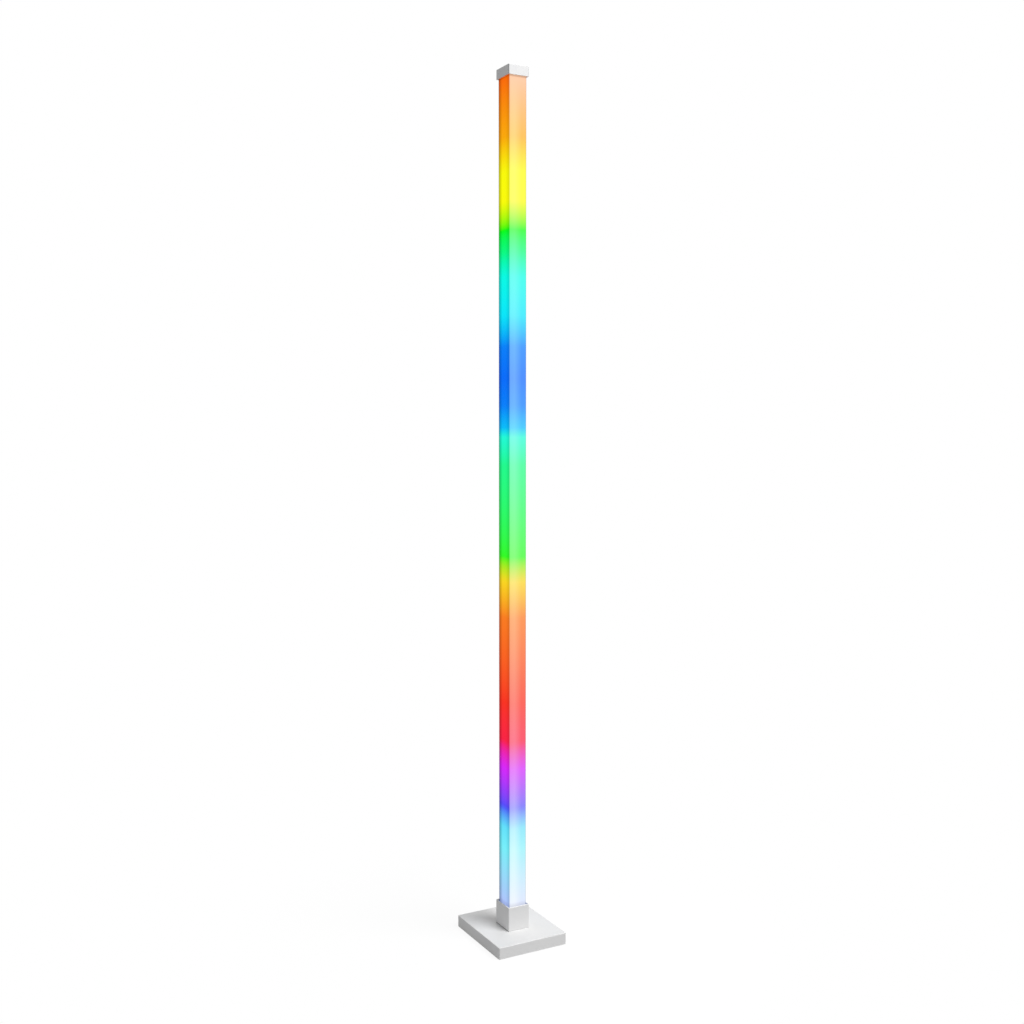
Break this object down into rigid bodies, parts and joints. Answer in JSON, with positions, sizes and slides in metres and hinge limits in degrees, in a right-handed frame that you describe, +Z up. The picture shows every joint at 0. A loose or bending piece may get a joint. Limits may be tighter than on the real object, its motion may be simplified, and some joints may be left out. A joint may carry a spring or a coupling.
{
  "type": "corner floor lamp",
  "caption": "Slim square-edged light column with a rainbow glow on its front and sides, capped on top and set in a collar on a weighted flat base.",
  "frame": {"origin": "on the floor, on the axis of the light column; the middle of the base is 5 mm behind it", "axes": "+Z up along the light column, -Y towards the front of the lamp, +X to the right seen from the front; the inlet and the button are at the back, +Y"},
  "size_m": [0.125, 0.1515, 1.42],
  "materials": {
    "painted_white": "smooth semi-gloss white paint",
    "ballast_iron": "rough as-cast grey",
    "plated_steel": "zinc-plated",
    "fastener_steel": "zinc-plated",
    "set_screw_steel": "black oxide",
    "foot_rubber": "matt black",
    "grommet_rubber": "matt black",
    "sleeve_plastic": "matt dark grey",
    "channel_aluminium": "satin anodised",
    "frosted_diffuser": "frosted white, glowing in a vertical rainbow",
    "cap_white": "smooth white moulding",
    "plug_plastic": "white moulding",
    "strip_white": "white solder mask",
    "led_body": "pale resin",
    "inlet_plastic": "black moulding",
    "inlet_contact": "bright",
    "button_plastic": "light grey moulding",
    "switch_plastic": "black moulding",
    "board_green": "green solder mask",
    "chip_black": "black epoxy",
    "capacitor_can": "sleeved can",
    "connector_white": "natural nylon",
    "wire_insulation": "soft insulation"
  },
  "bodies": {
    "stand": {"base_cover": "painted_white", "base_weight": "ballast_iron", "base_bottom_plate": "plated_steel", "foot_pads": "foot_rubber", "bottom_plate_screws": "fastener_steel", "pole_collar": "painted_white", "collar_sleeve": "sleeve_plastic", "collar_set_screws": "set_screw_steel", "collar_bolts": "fastener_steel", "collar_bolt_washers": "fastener_steel", "wire_grommet": "grommet_rubber", "back_channel": "channel_aluminium", "diffuser": "frosted_diffuser", "end_plug_bottom": "plug_plastic", "end_plug_top": "plug_plastic", "end_plug_screws": "fastener_steel", "led_strip": "strip_white", "led_packages": "led_body", "top_cap": "cap_white", "cap_screw": "fastener_steel", "dc_inlet": "inlet_plastic", "dc_inlet_pin": "inlet_contact", "button_switch": "switch_plastic", "controller_board": "board_green", "board_standoffs": "fastener_steel", "board_screws": "fastener_steel", "control_chip": "chip_black", "voltage_regulator": "chip_black", "filter_capacitor": "capacitor_can", "radio_module": "board_green", "output_connector": "connector_white", "harness_plug": "connector_white", "pole_wires": "wire_insulation"},
    "power_button": {"power_button": "button_plastic", "switch_plunger": "button_plastic"}
  },
  "joints": [
    {"name": "power_button_press", "type": "slide", "parent": "stand", "child": "power_button", "axis": [0, -1, 0], "range_m": [0, 0.0012], "stiffness_N_per_m": 800, "springref_m": -0.0005}
  ]
}
